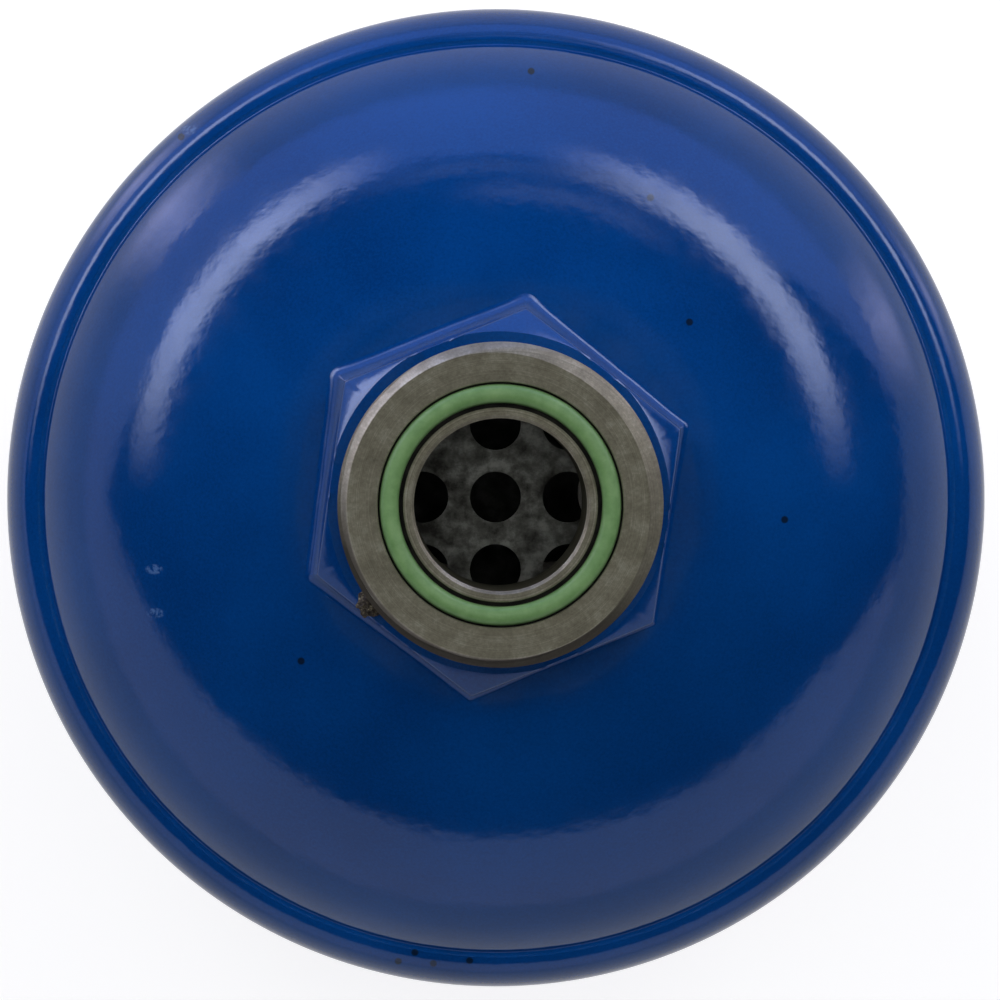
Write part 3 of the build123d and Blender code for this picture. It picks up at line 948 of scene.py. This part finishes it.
def wire_cloth():
    """Plain-woven wire: crossing wires raised, with painted shade in the openings between
    them.
    """
    material, tree, shader, place = new_finish("wire_cloth", Metallic=0.9, Roughness=0.35)
    parts = add_node(tree, "ShaderNodeSeparateXYZ", {"Vector": place}).outputs
    wires = []
    for axis in ("X", "Y"):
        phase = calculate(tree, "MULTIPLY", parts[axis], 2 * pi / WIRE_SPACING)
        wires.append(calculate(tree, "ABSOLUTE", calculate(tree, "SINE", phase)))
    weave = calculate(tree, "MAXIMUM", *wires)
    # The openings between the wires are painted near black as shade.
    colour_by(tree, shader, weave, (0.45, OPENING_SHADE), (0.75, WIRE_BRIGHT))
    bumped(tree, shader, (weave, 0.1, 0.8))
    return material


dress("outlet_mesh_screen", wire_cloth())

# ---------------------------------------------------------------------------------------
# Floor, light and camera: a white floor with two glowing cards, a dim sky with a bright
# horizon and long low soft boxes, four soft lamps overhead that don't show as mirrored
# shapes, and the camera close to the axis.
FLOOR_SIZE = 3.0
FLOOR_STEPS = 96
FLOOR_WHITE = (0.50, 0.50, 0.50, 1.0)
FLOOR_LIFT = 0.70  # its own glow, which makes a white ground
FLOOR_SHEEN = 0.55  # the glow's share in reflections
SKY_ZENITH = (0.004, 0.006, 0.010)
SKY_LOW = (0.74, 0.69, 0.82)
SKY_FAR = (0.68, 0.86, 2.0)  # the same band behind the drier's top side, bluer
SKY_TURN = (-0.2, 0.9)  # from where to where the band goes over to that colour
BOX_GLOW = (6.2, 5.6, 6.4)
CARD_GLOW = (3.0, 2.6, 3.7)
BLUR = 1.3  # softness of the bright horizon's upper edge, in degrees
HORIZON_SPAN = 30.0  # the horizon's heights lie within this, up or down
# (azimuth, height of the bright horizon), in degrees
HORIZON = (
    (-180, 2.5), (-162, 9), (-135, 14.5), (-110, 16), (-75, 15.5), (-50, 12.5), (-30, 9),
    (-18, 2), (-6, -5), (10, -5), (24, 2), (45, 12), (75, 15), (110, 15), (140, 13),
    (165, 7.5), (180, 2.5),
)
# (azimuth, half span, softness), (elevation, half height, softness), share of the glow
SOFT_BOXES = (
    ((142, 24, 14), (12.0, 3.3, 1.6), 1.0),
    ((42, 26, 16), (14.6, 3.5, 1.8), 1.0),
    ((76, 18, 8), (24.0, 1.8, 1.8), 0.13),
    ((90, 20, 10), (18.0, 1.5, 1.5), 0.10),
)
CARDS = (  # on the floor, as seen from the shell's end
    ((139, 5, 9), (-11.0, 11.0, 7.0), 1.0),
    ((24, 4, 9), (-9.0, 6.0, 6.0), 0.9),
)
LAMP_AIM = (0.0, 0.0, 0.18)
LAMPS = {  # place, width and power
    "above": ((0.0, 0.03, 1.90), 0.4, 5.0),
    "canopy": ((0.0, 0.10, 1.90), 1.5, 6.0),
    "upper_left": ((-0.53, 0.53, 1.48), 0.8, 6.8),
    "upper_right": ((0.53, 0.53, 1.48), 0.8, 6.8),
}
CAMERA_LENS = 362
CAMERA_PLACE = (-0.0082, 0.0126, 1.16245)
CAMERA_AIM = (0.00041, -0.00023, 0.18245)


def angle_of(tree, rise, run):
    """The direction of rise over run, in degrees."""
    return calculate(tree, "DEGREES", calculate(tree, "ARCTAN2", rise, run))


def soft_step(tree, value, start, stop):
    """Go softly from 0 at the start to 1 at the stop."""
    return add_node(
        tree, "ShaderNodeMapRange", {"Value": value, "From Min": start, "From Max": stop},
        interpolation_type="SMOOTHSTEP",
    ).outputs["Result"]


def soft_window(tree, value, centre, half, soft):
    """1 within half of the centre, falling softly to 0."""
    away = calculate(tree, "ABSOLUTE", calculate(tree, "SUBTRACT", value, centre))
    return soft_step(tree, away, half + soft, half - soft)


def windows(tree, azimuth, elevation, places):
    """The summed shares of the soft windows at an azimuth and an elevation."""
    parts = []
    for around, above, share in places:
        across = soft_window(tree, azimuth, *around)
        upward = soft_window(tree, elevation, *above)
        parts.append((calculate(tree, "MULTIPLY", across, upward), share))
    return blend(tree, *parts)


form = bmesh.new()
bmesh.ops.create_circle(form, cap_ends=True, segments=FLOOR_STEPS, radius=FLOOR_SIZE)
mesh = bpy.data.meshes.new("floor")
form.to_mesh(mesh)
form.free()
floor = bpy.data.objects.new("floor", mesh)
bpy.context.scene.collection.objects.link(floor)

material, tree, shader, place = new_finish(
    "white_floor", Base_Color=FLOOR_WHITE, Roughness=0.9, Emission_Strength=1.0
)
mesh.materials.append(material)
parts = add_node(tree, "ShaderNodeSeparateXYZ", {"Vector": place}).outputs
azimuth = angle_of(tree, parts["Y"], parts["X"])
elevation = angle_of(tree, -inlet_end, from_axis(tree, place))
rays = add_node(tree, "ShaderNodeLightPath").outputs
mirrored = calculate(tree, "MAXIMUM", rays["Is Glossy Ray"], rays["Is Transmission Ray"])
seen = calculate(
    tree, "MAXIMUM", rays["Is Camera Ray"], calculate(tree, "MULTIPLY", mirrored, FLOOR_SHEEN)
)
lift = scaled(tree, (1.0, 1.0, 1.0), calculate(tree, "MULTIPLY", seen, FLOOR_LIFT))
cards = calculate(tree, "MULTIPLY", mirrored, windows(tree, azimuth, elevation, CARDS))
glow = vector_math(tree, "ADD", lift, scaled(tree, CARD_GLOW, cards))
tree.links.new(glow, shader.inputs["Emission Color"])

sky = bpy.data.worlds.new("studio")
bpy.context.scene.world = sky
sky.use_nodes = True
tree = sky.node_tree
tree.nodes.clear()
ray = add_node(tree, "ShaderNodeTexCoord").outputs["Generated"]
parts = add_node(tree, "ShaderNodeSeparateXYZ", {"Vector": ray}).outputs
azimuth = angle_of(tree, parts["Y"], parts["X"])
elevation = calculate(tree, "DEGREES", calculate(tree, "ARCSINE", parts["Z"]))
heights = shades(
    tree, spread(tree, azimuth, 0.0, 1.0, start=-180.0, stop=180.0),
    *(
        ((around + 180) / 360, [(height + HORIZON_SPAN) / (2 * HORIZON_SPAN)] * 3)
        for around, height in HORIZON
    ),
)
edge = spread(tree, heights, -HORIZON_SPAN, HORIZON_SPAN, start=0.0, stop=1.0)
low = soft_step(tree, calculate(tree, "SUBTRACT", edge, elevation), -BLUR, BLUR)
band = tinted(tree, spread(tree, parts["Y"], 0.0, 1.0, *SKY_TURN), SKY_LOW, SKY_FAR)
boxes = scaled(tree, BOX_GLOW, windows(tree, azimuth, elevation, SOFT_BOXES))
light = vector_math(tree, "ADD", tinted(tree, low, SKY_ZENITH, band), boxes)
lit = add_node(tree, "ShaderNodeBackground", {"Color": light})
plain = add_node(tree, "ShaderNodeBackground", {"Color": (1.0, 1.0, 1.0, 1.0)})
mixed = add_node(
    tree, "ShaderNodeMixShader",
    {0: add_node(tree, "ShaderNodeLightPath").outputs["Is Camera Ray"],
     1: lit.outputs["Background"], 2: plain.outputs["Background"]},
)
add_node(tree, "ShaderNodeOutputWorld", {"Surface": mixed.outputs["Shader"]})

for name, (place, size, power) in LAMPS.items():
    lamp = bpy.data.lights.new(name, "AREA")
    lamp.size = size
    lamp.energy = power
    holder = bpy.data.objects.new(name, lamp)
    holder.location = place
    away = Vector(LAMP_AIM) - Vector(place)
    holder.rotation_euler = away.to_track_quat("-Z", "Y").to_euler()
    holder.visible_camera = holder.visible_glossy = False
    bpy.context.scene.collection.objects.link(holder)

camera = bpy.data.cameras.new("camera")
camera.lens = CAMERA_LENS
camera_stand = bpy.data.objects.new("camera", camera)
bpy.context.scene.collection.objects.link(camera_stand)
camera_stand.location = CAMERA_PLACE
back = (Vector(CAMERA_PLACE) - Vector(CAMERA_AIM)).normalized()
right = Vector((0, 1, 0)).cross(back).normalized()
camera_stand.rotation_euler = Matrix((right, back.cross(right), back)).transposed().to_euler()
bpy.context.scene.camera = camera_stand

bpy.context.scene.view_settings.view_transform = "Standard"
